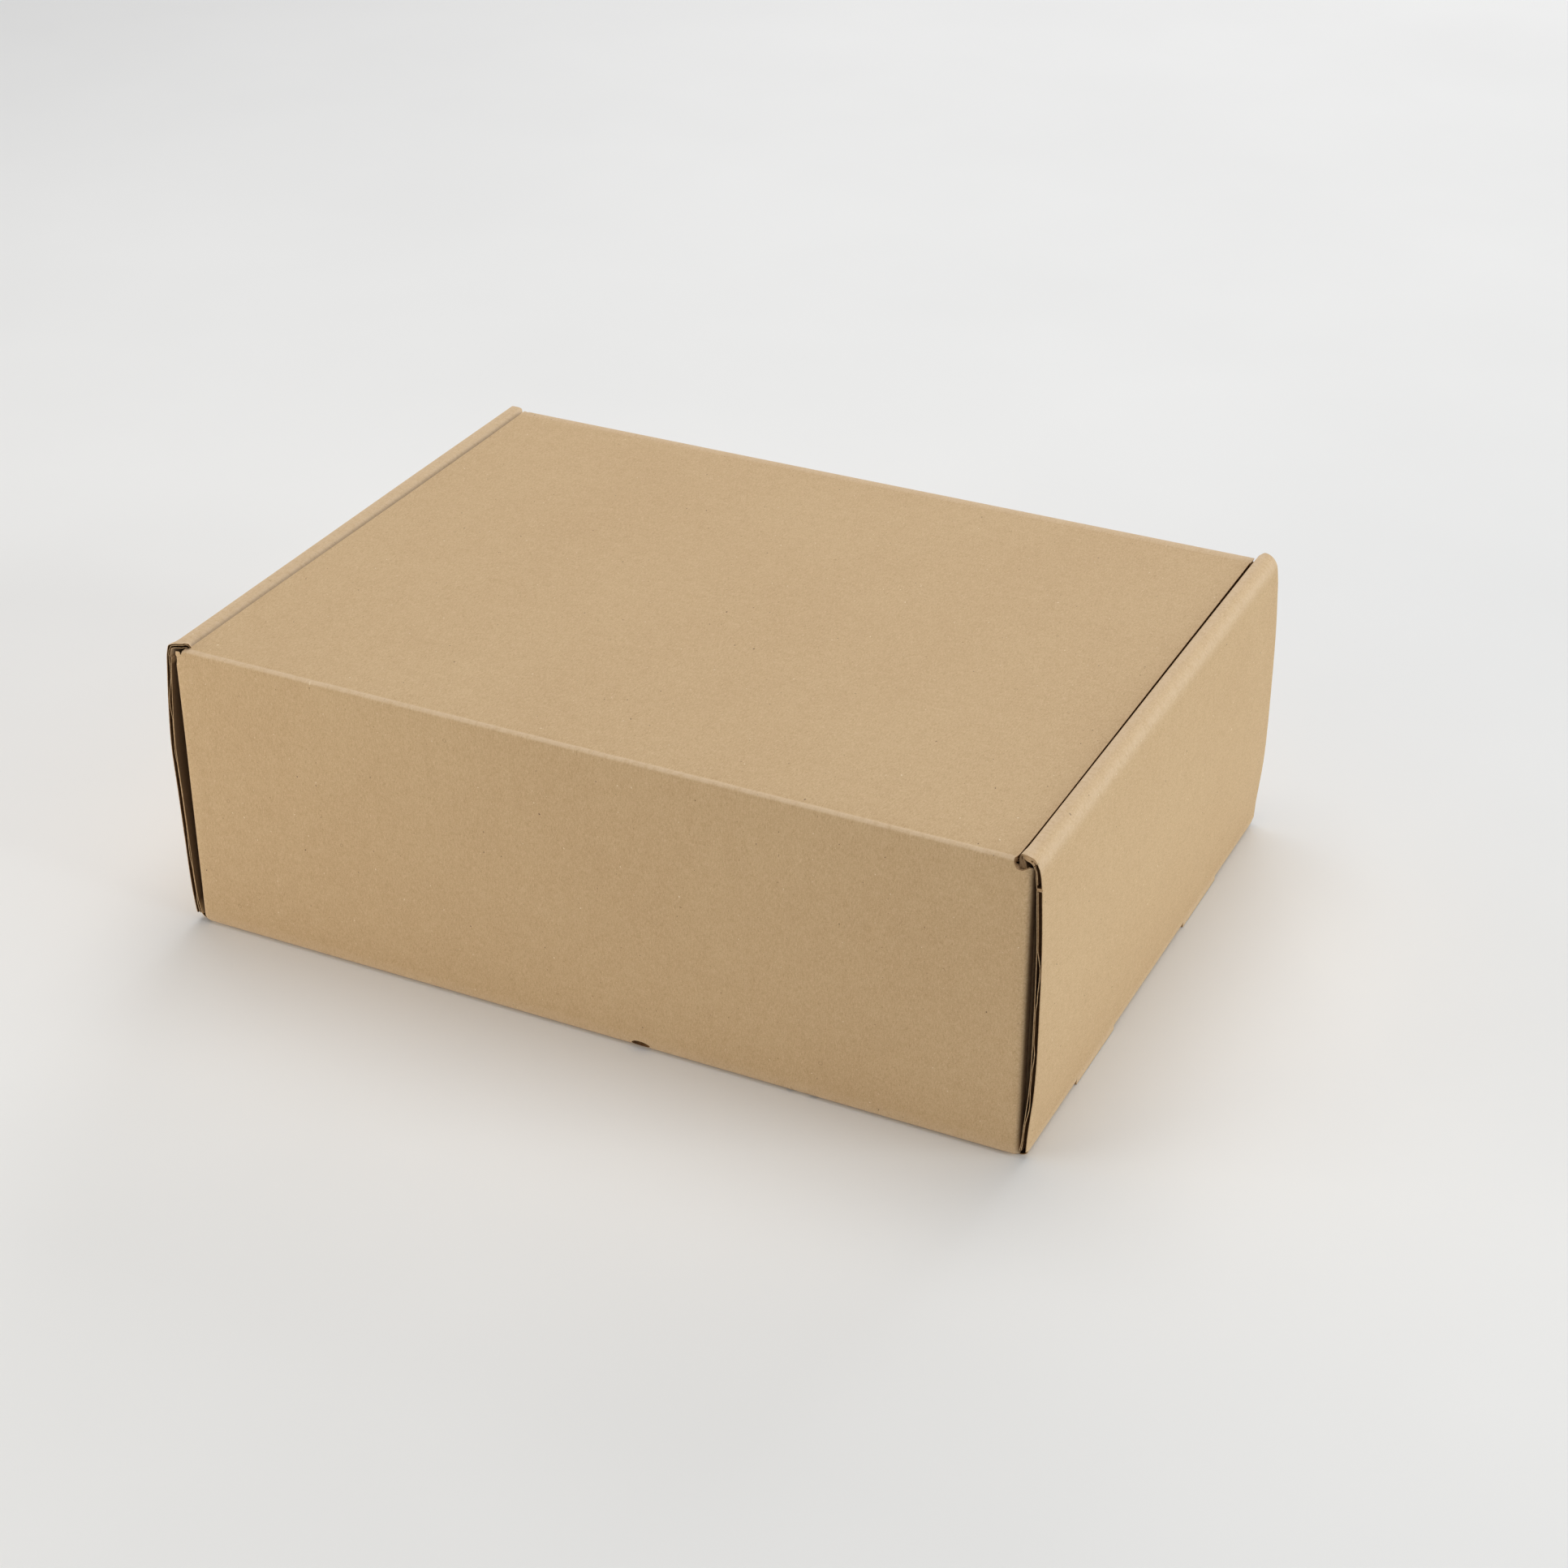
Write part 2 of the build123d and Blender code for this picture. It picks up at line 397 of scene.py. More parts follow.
def medium(mesh, mapping, line, normals, place, depth, wander, lean):
    """The fluted medium behind a stretch of raw edge, as a thin closed ribbon."""
    seg = np.hypot(*np.diff(line, axis=0).T)
    s = np.concatenate([[0], np.cumsum(seg)])
    if s[-1] < 3.0:
        return
    c_line = place(line[:, 0], line[:, 1])[1]
    across = abs(c_line[-1] - c_line[0]) > 0.5 * s[-1]
    n = max(3, int(s[-1] / (0.62 if across else 1.2)))
    at = np.linspace(0.3, s[-1] - 0.3, n)
    u, v = np.interp(at, s, line[:, 0]), np.interp(at, s, line[:, 1])
    nu, nv = np.interp(at, s, normals[:, 0]), np.interp(at, s, normals[:, 1])
    ln = np.maximum(np.hypot(nu, nv), 1e-6)
    nu, nv = nu / ln, nv / ln
    rows = [0.14, 1.1, 2.1, depth - 0.1]
    tops, bottoms, blanks = [], [], []
    for r in rows:
        uu, vv = u + nu * r, v + nv * r
        bu, bv = place(uu, vv)
        if across:
            w = (H - LINER - 0.18) * np.sin(2 * np.pi * (bv + 0.5 * wander_n(bu, bv)) / PITCH)
        else:
            # cut along a flute: the medium keeps to one liner and crosses over here and there
            keep = np.clip(lean + 2.3 * wander(at + 40 * lean, 7.0), -1, 1)
            w = (H - LINER - 0.36) * keep * np.cos(2 * np.pi * r / PITCH * 0.8)
        half = 0.12 if across else 0.12 + 0.08 * math.exp(-r)
        tops.append(mapping(uu, vv, w + half))
        bottoms.append(mapping(uu, vv, w - half))
        blanks.append(np.c_[bu, bv, w])
    last = len(rows) - 1
    a = mesh.verts(np.concatenate(tops), np.concatenate(blanks))
    b = mesh.verts(np.concatenate(bottoms), np.concatenate(blanks))
    for r in range(last):
        for k in range(n - 1):
            q = (r * n + k, r * n + k + 1, (r + 1) * n + k + 1, (r + 1) * n + k)
            mesh.face([a + i for i in q], MEDIUM_AND_SHADE_M)
            mesh.face([b + i for i in q[::-1]], MEDIUM_AND_SHADE_M)
    for k in range(n - 1):
        mesh.face((a + k, b + k, b + k + 1, a + k + 1), EDGE_M)
        e = last * n
        mesh.face((a + e + k, a + e + k + 1, b + e + k + 1, b + e + k), MEDIUM_AND_SHADE_M)
    for r in range(last):
        mesh.face((a + r * n, a + (r + 1) * n, b + (r + 1) * n, b + r * n), MEDIUM_AND_SHADE_M)
        e = n - 1
        mesh.face((a + r * n + e, b + r * n + e, b + (r + 1) * n + e, a + (r + 1) * n + e), MEDIUM_AND_SHADE_M)


# ---- materials ------------------------------------------------------------
class Tree:
    """A short way to write node trees."""

    def __init__(self, name):
        self.m = bpy.data.materials.new(name)
        self.m.use_nodes = True
        self.t = self.m.node_tree
        self.t.nodes.clear()
        self.out = self.t.nodes.new("ShaderNodeOutputMaterial")
        self.s = self.t.nodes.new("ShaderNodeBsdfPrincipled")
        self.t.links.new(self.s.outputs[0], self.out.inputs["Surface"])

    def new(self, kind, ins=None, **props):
        n = self.t.nodes.new(kind)
        for k, v in props.items():
            setattr(n, k, v)
        for k, v in (ins or {}).items():
            self.set(n.inputs[k], v)
        return n

    def set(self, socket, v):
        if hasattr(v, "links") and hasattr(v, "type"):
            self.t.links.new(v, socket)
        else:
            socket.default_value = v

    def math(self, op, a, b=0.0, clamp=False):
        n = self.new("ShaderNodeMath", {0: a, 1: b}, operation=op, use_clamp=clamp)
        return n.outputs[0]

    def vec(self, source, scale, shift=(0, 0, 0)):
        n = self.new("ShaderNodeMapping", {"Vector": source, "Scale": scale, "Location": shift})
        return n.outputs[0]

    def noise(self, vector, scale, detail=3.0, rough=0.55, lac=2.0):
        n = self.new("ShaderNodeTexNoise", {"Vector": vector, "Scale": scale, "Detail": detail, "Roughness": rough, "Lacunarity": lac})
        return n.outputs[0]

    def ramp(self, fac, stops):
        n = self.new("ShaderNodeValToRGB", {"Fac": fac})
        e = n.color_ramp.elements
        while len(e) < len(stops):
            e.new(0.5)
        for x, (at, c) in zip(e, stops):
            x.position = at
            x.color = (*c, 1) if len(c) == 3 else c
        return n.outputs[0]

    def steps(self, fac, lo, hi):
        n = self.new("ShaderNodeMapRange", {"Value": fac, "From Min": lo, "From Max": hi}, interpolation_type="SMOOTHSTEP")
        return n.outputs[0]

    def mix(self, fac, a, b, mode="MIX"):
        n = self.t.nodes.new("ShaderNodeMix")
        n.data_type = "RGBA"
        n.blend_type = mode
        self.set(n.inputs["Factor"], fac)
        self.set(n.inputs["A"], a)
        self.set(n.inputs["B"], b)
        return n.outputs["Result"]


def lin(r, g, b):
    f = lambda c: c / 255 / 12.92 if c <= 10 else ((c / 255 + 0.055) / 1.055) ** 2.4
    return (f(r), f(g), f(b), 1.0)


def kraft(name):
    """Kraft liner: cloudy formation, short fibres, small light and dark specks, a faint print of the flutes in the bump
    with faint painted shade in the dips.
    """
    t = Tree(name)
    at = t.new("ShaderNodeAttribute", attribute_name="blank", attribute_type="GEOMETRY").outputs["Vector"]
    # fibres lie mostly along the paper's making direction, across the flutes (v)
    cloud = t.noise(t.vec(at, (0.012, 0.010, 0.3)), 1.0, 2.0, 0.5)
    mottle = t.noise(t.vec(at, (0.24, 0.15, 0.3), (11, 5, 0)), 1.0, 3.0, 0.6)
    warp = t.new("ShaderNodeTexNoise", {"Vector": t.vec(at, (0.2, 0.2, 0.2)), "Scale": 1.0, "Detail": 2.0}).outputs[1]
    bent = t.new("ShaderNodeVectorMath", {0: at, 1: t.vec(warp, (3, 3, 1))}, operation="ADD").outputs[0]
    fibre_a = t.noise(t.vec(bent, (2.1, 0.55, 0.4), (3, 9, 0)), 1.0, 2.0, 0.6)
    fibre_b = t.noise(t.vec(bent, (0.7, 1.9, 0.4), (31, 2, 0)), 1.0, 2.0, 0.6)
    grain = t.noise(t.vec(at, (2.6, 2.6, 0.5)), 1.0, 2.0, 0.65)
    base = t.ramp(cloud, [(0.3, lin(202, 172, 133)[:3]), (0.7, lin(206, 177, 138)[:3])])
    c = t.mix(t.math("MULTIPLY", t.steps(mottle, 0.46, 0.72), 0.16), base, lin(222, 196, 158))
    c = t.mix(t.math("MULTIPLY", t.steps(mottle, 0.5, 0.26), 0.16), c, lin(180, 146, 106))
    c = t.mix(t.math("MULTIPLY", t.steps(fibre_a, 0.46, 0.76), 0.42), c, lin(226, 200, 164))
    c = t.mix(t.math("MULTIPLY", t.steps(fibre_a, 0.5, 0.22), 0.42), c, lin(172, 138, 99))
    c = t.mix(t.math("MULTIPLY", t.steps(fibre_b, 0.54, 0.78), 0.22), c, lin(222, 196, 160))
    c = t.mix(t.math("MULTIPLY", t.steps(fibre_b, 0.46, 0.22), 0.2), c, lin(174, 140, 102))
    c = t.mix(t.math("MULTIPLY", t.steps(grain, 0.5, 0.74), 0.44), c, lin(224, 198, 163))
    c = t.mix(t.math("MULTIPLY", t.steps(grain, 0.5, 0.26), 0.44), c, lin(170, 136, 98))
    # sparse specks of bark and pale fibre, and a few small rings
    for seed, scale, share, size, tone, strength in (
        (2.0, 0.11, 0.14, 0.026, lin(92, 66, 46), 0.8),
        (17.0, 0.23, 0.12, 0.045, lin(150, 116, 82), 0.6),
        (41.0, 0.15, 0.16, 0.032, lin(240, 224, 196), 0.75),
        (63.0, 0.3, 0.1, 0.06, lin(226, 204, 170), 0.6),
    ):
        v = t.new("ShaderNodeTexVoronoi", {"Vector": t.vec(bent, (scale, scale * 0.72, 0.001), (seed, seed * 2, 0)), "Scale": 1.0, "Randomness": 1.0}, voronoi_dimensions="2D")
        cell = t.new("ShaderNodeSeparateColor", {"Color": v.outputs["Color"]})
        grow = t.math("MULTIPLY", cell.outputs[1], size)
        dot = t.steps(t.math("SUBTRACT", v.outputs["Distance"], grow), size * 0.55, 0.0)
        on = t.math("LESS_THAN", cell.outputs[0], share)
        c = t.mix(t.math("MULTIPLY", t.math("MULTIPLY", dot, on), strength), c, tone)
    v = t.new("ShaderNodeTexVoronoi", {"Vector": t.vec(at, (0.035, 0.035, 0.001), (5.2, 3.1, 0)), "Scale": 1.0, "Randomness": 1.0}, voronoi_dimensions="2D")
    cell = t.new("ShaderNodeSeparateColor", {"Color": v.outputs["Color"]})
    ring = t.math("ABSOLUTE", t.math("SUBTRACT", v.outputs["Distance"], t.math("ADD", t.math("MULTIPLY", cell.outputs[1], 0.012), 0.018)))
    ring = t.math("MULTIPLY", t.steps(ring, 0.007, 0.002), t.math("LESS_THAN", cell.outputs[0], 0.09))
    c = t.mix(t.math("MULTIPLY", ring, 0.4), c, lin(138, 106, 76))
    # a very faint painted shade where the liner dips between the flutes
    sep = t.new("ShaderNodeSeparateXYZ", {"Vector": at})
    pitch = t.math("MULTIPLY", sep.outputs[1], 2 * math.pi / PITCH)
    ripple = t.math("SINE", t.math("ADD", pitch, t.math("MULTIPLY", mottle, 1.2)))
    c = t.mix(t.math("MULTIPLY", t.math("ADD", t.math("MULTIPLY", ripple, 0.5), 0.5), 0.02), c, lin(168, 134, 96))
    # paler, scuffed paper on the folds, with a painted highlight along the creases and roll shoulders, given by the
    # mesh
    wear = t.new("ShaderNodeAttribute", attribute_name="wear", attribute_type="GEOMETRY").outputs["Fac"]
    rub = t.noise(t.vec(bent, (0.35, 0.6, 0.4), (7, 3, 0)), 1.0, 4.0, 0.65)
    worn_and_highlit = t.math("MULTIPLY", wear, t.math("ADD", t.math("MULTIPLY", t.steps(rub, 0.25, 0.6), 0.6), 0.4))
    c = t.mix(t.math("MULTIPLY", worn_and_highlit, 0.62), c, lin(226, 202, 174))
    # painted shade: brown where two pieces of board almost touch, given by the mesh
    shade = t.new("ShaderNodeAttribute", attribute_name="shade", attribute_type="GEOMETRY").outputs["Fac"]
    c = t.mix(t.math("MULTIPLY", shade, 0.86), c, lin(86, 60, 34))
    c = t.mix(1.0, c, (1.0, 0.987, 0.952, 1.0), "MULTIPLY")
    t.set(t.s.inputs["Base Color"], c)
    t.set(t.s.inputs["Roughness"], t.math("ADD", t.math("MULTIPLY", mottle, 0.16), 0.72))
    t.s.inputs["Specular IOR Level"].default_value = 0.28
    t.s.inputs["Sheen Weight"].default_value = 0.04
    t.s.inputs["Sheen Roughness"].default_value = 0.5
    h = t.math("ADD", t.math("MULTIPLY", fibre_a, 0.5), t.math("MULTIPLY", fibre_b, 0.3))
    h = t.math("ADD", h, t.math("MULTIPLY", grain, 0.35))
    b1 = t.new("ShaderNodeBump", {"Height": h, "Strength": 0.4, "Distance": 0.00012})
    b2 = t.new("ShaderNodeBump", {"Height": ripple, "Strength": 0.4, "Distance": 0.000015, "Normal": b1.outputs[0]})
    t.set(t.s.inputs["Normal"], b2.outputs[0])
    return t.m


def torn(name, light, dark, rough):
    """Cut board: fuzzy fibres, paler at the knife line, dark down in the flutes, where the dark tone is partly the
    medium's own paper and partly painted shade of the channels.
    """
    t = Tree(name)
    at = t.new("ShaderNodeAttribute", attribute_name="blank", attribute_type="GEOMETRY").outputs["Vector"]
    n = t.noise(t.vec(at, (0.9, 0.9, 2.2)), 1.0, 4.0, 0.65)
    m = t.noise(t.vec(at, (0.13, 0.13, 0.6), (5, 8, 2)), 1.0, 3.0, 0.6)
    c = t.ramp(n, [(0.28, dark[:3]), (0.5, tuple((a + b) / 2 for a, b in zip(light[:3], dark[:3]))), (0.7, light[:3])])
    c = t.mix(t.math("MULTIPLY", t.steps(m, 0.55, 0.3), 0.4), c, dark)
    # painted shade on the cut edges that lie deep in the slot, given by the mesh
    pit = t.new("ShaderNodeAttribute", attribute_name="pit", attribute_type="GEOMETRY").outputs["Fac"]
    c = t.mix(t.math("MULTIPLY", pit, 0.6), c, lin(70, 46, 26))
    t.set(t.s.inputs["Base Color"], c)
    t.s.inputs["Roughness"].default_value = rough
    t.s.inputs["Specular IOR Level"].default_value = 0.2
    b = t.new("ShaderNodeBump", {"Height": n, "Strength": 0.6, "Distance": 0.0002})
    t.set(t.s.inputs["Normal"], b.outputs[0])
    return t.m


kraft_m = kraft("kraft_liner")
edge_m = torn("cut_edge", lin(214, 184, 144), lin(160, 124, 86), 0.9)
# the medium's dark tone is partly its own darker paper and partly painted shade of flute channels, crack floors and
# holes
medium_and_shade_m = torn("fluted_medium_and_shade", lin(120, 86, 52), lin(76, 52, 29), 0.95)
BOARD = [kraft_m, edge_m, medium_and_shade_m]


def finish_piece(mesh, name, wear_and_highlight_of, shade_of=lambda q: np.zeros(len(q)), painted_edge_shade_of=lambda q: np.zeros(len(q))):
    """Makes the object and gives its points the wear and painted highlight, the painted shade that the liner reads, and
    the painted shade of the cut edges.
    """
    o = mesh.build(name, BOARD)
    for label, rule in (("wear", wear_and_highlight_of), ("shade", shade_of), ("pit", painted_edge_shade_of)):
        a = o.data.attributes.new(label, "FLOAT", "POINT")
        a.data.foreach_set("value", np.clip(rule(np.concatenate(mesh.q)), 0, 1).astype(np.float32))
    return o


# ---- shared surface shape -------------------------------------------------
swell = Noise(11, 95.0)
dimple = Noise(12, 26.0)
fine = Noise(13, 7.0)
crimp = Noise(16, 5.5)


def relief(bu, bv, amount):
    """Small unevenness of the whole board, in mm along its normal."""
    return amount * (0.22 * swell(bu, bv) + 0.035 * dimple(bu + 400, bv) + 0.008 * fine(bu, bv + 300))


def catmull(points, per=4):
    """Smooth curve through control points, per steps between each pair."""
    p = np.array(points, float)
    p = np.vstack([2 * p[0] - p[1], p, 2 * p[-1] - p[-2]])
    out = []
    for k in range(1, len(p) - 2):
        a, b, c, d = p[k - 1:k + 3]
        for j in range(per):
            t = j / per
            out.append(0.5 * (2 * b + (c - a) * t + (2 * a - 5 * b + 4 * c - d) * t * t + (3 * b - a - 3 * c + d) * t ** 3))
    out.append(p[-2])
    return np.array(out)


def shape(right, left, start="flat"):
    """A closed outline from its two halves, each listed from bottom to top as (across, along, kind of the edge that leaves, radius)."""
    pts = [(p[0], p[1]) for p in right] + [(-p[0], p[1]) for p in reversed(left)]
    kinds = [p[2] for p in right] + [p[2] for p in reversed(left[:-1])] + [start]
    rad = [p[3] if len(p) > 3 else 0 for p in right] + [p[3] if len(p) > 3 else 0 for p in reversed(left)]
    return rounded(pts, kinds, {k: r for k, r in enumerate(rad) if r})


# ---- A: back wall and lid -------------------------------------------------
def wall_path(with_lid):
    p = Path()
    if with_lid:
        p.line((20, H), (-20, H), (0, -1), 4)
    p.line((-20, H), (-141.3, H), (0, -1), 6)
    p.arc((-141.3, 3.2), 270, 180, 3.2, 0.2, 8)
    if with_lid:
        p.line((-143, 3.2), (-143, 135.0), (-1, 0), 10)
        # the crease: a narrow round outside, a pressed line just behind it, pinched inside
        for k, a in enumerate(np.linspace(180, 90, 9)):
            c, s = math.cos(math.radians(a)), math.sin(math.radians(a))
            p.add((-142.5 + 2.0 * c, 136.6 + 2.0 * s), (-141.5 + 0.045 * k, 135.2 + 0.045 * k))
        p.add((-141.9, 138.5), (-141.05, 135.58))
        p.add((-141.3, 138.36), (-140.9, 135.6))
        p.add((-140.6, 138.46), (-140.4, 135.6))
        p.add((-139.6, 138.6), (-139.6, 135.6))
        p.line((-138.8, 137.1), (136, 137.1), (0, 1), 14)
        return p.done(-40.0)
    p.line((-143, 3.2), (-143, WALL_TOP), (-1, 0), 10)
    return p.done()


back, front = wall_path(True), wall_path(False)
V_FOLD0 = 121.3
V_FOLD1 = float(back.v[np.argmin(np.hypot(back.outer[:, 0] + 144.5, back.outer[:, 1] - 3.2))])


def v_of(z):
    return V_FOLD1 + (z - 3.2)


back_v = lambda y, z: float(back.v[np.argmin(np.hypot(back.outer[:, 0] - y, back.outer[:, 1] - z))])
V_CREASE0, V_CREASE1 = back_v(-144.5, 136.6), back_v(-142.5, 138.6)
V_LID_END = float(back.v[-1])
RIDGE = (V_CREASE0 + V_CREASE1) / 2
U_FOLD = 193.7
U_DUST0 = U_FOLD + ARC
U_DUST1 = U_DUST0 + 110.0
U_CUT = U_DUST0 + 1.6


def v_lid(y):
    return back_v(-138.8, 138.6) + y + 138.8


def wall_map(path, amount, place, flip):
    def f(u, v, w):
        u, v = np.asarray(u, float), np.asarray(v, float)
        a = np.abs(u)
        bu, bv = place(u, v)
        w = np.asarray(w, float)
        ruffle = 0.13 * crimp(u, v * 0.2) * np.exp(-(((v - RIDGE) / 2.2) ** 2)) * (w > 0)
        ww = w + relief(bu, bv, amount(u, v)) + ruffle
        y, z = path.at(v, ww)
        # past the vertical corner fold the board turns in along the side
        ang = np.clip((a - U_FOLD) / R_MID, 0, math.pi / 2)
        r = np.maximum(R_MID + ww, 0.05)
        past = a > U_FOLD
        run = np.maximum(a - U_DUST0, 0)
        x = np.where(past, np.sign(u) * (U_FOLD + r * np.sin(ang)), u)
        y = np.where(past, y + (r - r * np.cos(ang)) + run, y)
        return np.stack([x, y * flip, z], axis=-1)

    return f


def amount_back(u, v):
    # the base lies flat; the folds are stiffer than the panels
    a = smooth(V_FOLD1, V_FOLD1 + 24, v)
    return a * (1 - 0.7 * np.exp(-(((v - (V_CREASE0 + V_CREASE1) / 2) / 10) ** 2)))


def amount_front(u, v):
    return smooth(V_FOLD1, V_FOLD1 + 24, v) * 0.8


same = lambda u, v: (u, v)
turned = lambda u, v: (u, -40.0 - np.asarray(v))


def us_for():
    fold = list(np.linspace(U_FOLD, U_DUST0, 5))
    marks = [187.2, 190.1] + fold + [U_DUST1]
    return spread([-m for m in marks] + [0] + marks, 4.4)


def foot(fold_end, wall_end, start=0.0):
    """The corner at the foot of a long wall: the fold stops short, and the dust flap starts a little higher."""
    return [
        (187.2, start, "flat"),
        (187.2, V_FOLD0, "flat"),
        (fold_end, V_FOLD0, "raw"),
        (fold_end + 0.25, v_of(wall_end), "raw", 0.8),
        (U_DUST0 + 1.0, v_of(3.6), "raw"),
        (U_CUT, v_of(3.63), "flat"),
    ]


def dust_flaps(mesh, mapping, us, vs, place):
    """The two flaps that continue a long wall round its vertical folds and lie inside the side walls."""
    a, b = v_of(3.63), v_of(131.9)
    right = [(U_CUT, a), (U_DUST1 - 1.5, v_of(7.4)), (U_DUST1, v_of(128.4)), (U_CUT, b)]
    left = [(-right[k][0], right[k][1]) for k in (0, 3, 2, 1)]
    for pts, kinds, radii in ((right, ["raw", "raw", "raw", "flat"], {1: 4.0, 2: 4.0}), (left, ["flat", "raw", "raw", "raw"], {2: 4.0, 3: 4.0})):
        c, k = rounded(pts, kinds, radii)
        board(mesh, mapping, [sample(c, k, us, vs, 3.0)], us, vs, place)


def lid_half(notch, edge):
    return [(U_CUT, v_of(131.9), "raw")] + notch + [(x, v_lid(y), "raw") for x, y in edge[:-1]] + [(edge[-1][0], V_LID_END, "flat")]


# the slots that free the lid: a round one on the right, a shallow one with a small cut on the left
notch_right = [
    (195.9, v_of(134.7), "raw"),
    (195.1, v_of(135.8), "flat", 0.7),
    (192.9, v_of(134.35), "flat", 1.8),
    (190.6, v_of(134.2), "flat", 1.8),
    (188.85, v_of(136.0), "flat", 2.0),
    (188.8, V_CREASE1 - 0.5, "flat", 1.2),
    (189.3, V_CREASE1 + 0.7, "raw", 0.6),
]
notch_left = [
    (195.5, v_of(135.0), "raw", 0.4),
    (194.6, v_of(136.3), "raw", 0.7),
    (193.2, v_of(136.5), "raw", 0.5),
    (192.45, v_of(135.6), "raw", 0.2),
    (191.9, v_of(136.7), "raw", 0.3),
    (191.3, V_CREASE1, "raw", 0.8),
    (190.35, v_lid(-140.7), "raw", 0.6),
]


lid_right = [(189.6, -139.6), (189.8, -129), (189.85, -105), (189.7, -15), (189.35, 90), (189.25, 136)]
lid_left = [(189.95, -139.4), (189.9, -90), (189.75, -38), (189.4, 29), (189.4, 104), (189.75, 136)]
us = us_for()
corners, kinds = shape(foot(195.0, 1.2, -40.0) + lid_half(notch_right, lid_right), foot(193.3, 2.4, -40.0) + lid_half(notch_left, lid_left))
vs = spread(list(back.v), 4.4)
loop = sample(corners, kinds, us, vs, 3.0)


def lens(cx, cz, wide, tall, n=14):
    """A crack in the outer liner at the foot of the wall, as an outline in blank coordinates."""
    out = []
    for k in range(n):
        a = 2 * math.pi * k / n
        pinch = abs(math.cos(a)) ** 1.6
        out.append((cx + wide / 2 * math.cos(a), v_of(cz) + tall / 2 * math.sin(a) * (1 - 0.55 * pinch) + 0.10 * math.sin(3 * a + cx)))
    return np.array(out)


cracks = [(lens(25.9, 2.6, 8.8, 2.3), 0.95), (lens(95.1, 1.6, 2.8, 0.8), 0.7), (lens(105.8, 1.5, 3.6, 0.75), 0.7)]
mesh_a = Mesh()
board(mesh_a, wall_map(back, amount_back, same, 1), [loop], us, vs, same, pits=cracks)
# the first rule is paler scuffed paper on the base fold and a painted highlight along the lid crease
wall_a = finish_piece(mesh_a, "back_wall_and_lid", lambda q: smooth(V_CREASE0 + 0.45, V_CREASE0 + 0.95, q[:, 1]) * smooth(V_CREASE1 + 0.55, V_CREASE1 + 0.1, q[:, 1]) + 0.8 * np.exp(-(((q[:, 1] - (V_FOLD0 + V_FOLD1) / 2) / 1.6) ** 2)),
                      # painted shade where the wall turns in at its vertical corner folds, beside the gap to the side
                      # wall
                      lambda q: smooth(194.7, 195.9, np.abs(q[:, 0])) * (1 - smooth(197.5, 200.0, np.abs(q[:, 0]))))
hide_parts("lid", "tray")
mesh_d = Mesh()
dust_flaps(mesh_d, wall_map(back, amount_back, same, 1), us, vs, same)
flaps_a = finish_piece(mesh_d, "back_dust_flaps", lambda q: np.zeros(len(q)))

# ---- C: front wall --------------------------------------------------------
top_half = [
    (U_CUT, v_of(131.9), "raw"),
    (U_FOLD + 1.6, v_of(133.6), "raw", 0.9),
    (189.1, v_of(133.4), "raw", 1.2),
    (188.9, float(front.v[-1]), "raw"),
]
corners, kinds = shape(foot(194.0, 1.8) + top_half, foot(194.6, 1.4) + top_half)
vs_c = spread(list(front.v), 4.4)
mesh_c = Mesh()
board(mesh_c, wall_map(front, amount_front, turned, -1), [sample(corners, kinds, us, vs_c, 3.0)], us, vs_c, turned)
dust_flaps(mesh_c, wall_map(front, amount_front, turned, -1), us, vs_c, turned)
wall_c = finish_piece(mesh_c, "front_wall", lambda q: 0.8 * np.exp(-(((-q[:, 1] - 40 - (V_FOLD0 + V_FOLD1) / 2) / 2.2) ** 2)),
                      # painted shade where the wall turns in at its vertical corner folds, beside the gap to the side
                      # wall
                      lambda q: smooth(194.7, 195.9, np.abs(q[:, 0])) * (1 - smooth(197.5, 200.0, np.abs(q[:, 0]))))

# ---- B: tuck flap ---------------------------------------------------------
tuck = Path()
for o, i in (
    ((136, 138.6), (136, 135.6)), ((138.5, 138.6), (136.12, 135.6)), ((140.3, 138.6), (136.2, 135.59)),
    ((141.25, 138.5), (136.27, 135.57)), ((142.05, 138.12), (136.33, 135.54)), ((142.6, 137.45), (136.38, 135.5)),
    ((142.8, 136.65), (136.42, 135.45)), ((142.62, 136.0), (136.45, 135.38)), ((142.1, 135.66), (136.47, 135.3)),
    ((141.3, 135.5), (136.485, 135.1)), ((140.6, 135.2), (136.49, 134.8)), ((140.1, 134.75), (136.495, 134.4)),
    ((139.75, 134.1), (136.5, 133.9)), ((139.56, 133.3), (136.5, 133.2)), ((139.5, 132.4), (136.5, 132.4)),
):
    tuck.add(o, i)
tuck.line((138, 132.0), (138, 85.25), (1, 0), 6)
tuck.done(V_LID_END)
V_TIP = float(tuck.v[-1])


def tv(z):
    return V_TIP - (z - 85.25)


def tuck_map(u, v, w):
    u, v = np.asarray(u, float), np.asarray(v, float)
    down = smooth(tv(128), V_TIP, v)
    edge = 1 - 0.8 * bump(v, tv(134), 6)
    ww = np.asarray(w, float) + relief(u, v, edge * (1 - 0.3 * down))
    y, z = tuck.at(v, ww)
    y = y + 0.0066 * u * smooth(V_LID_END, tv(134.6), v)
    return np.stack([u, y, z], axis=-1)


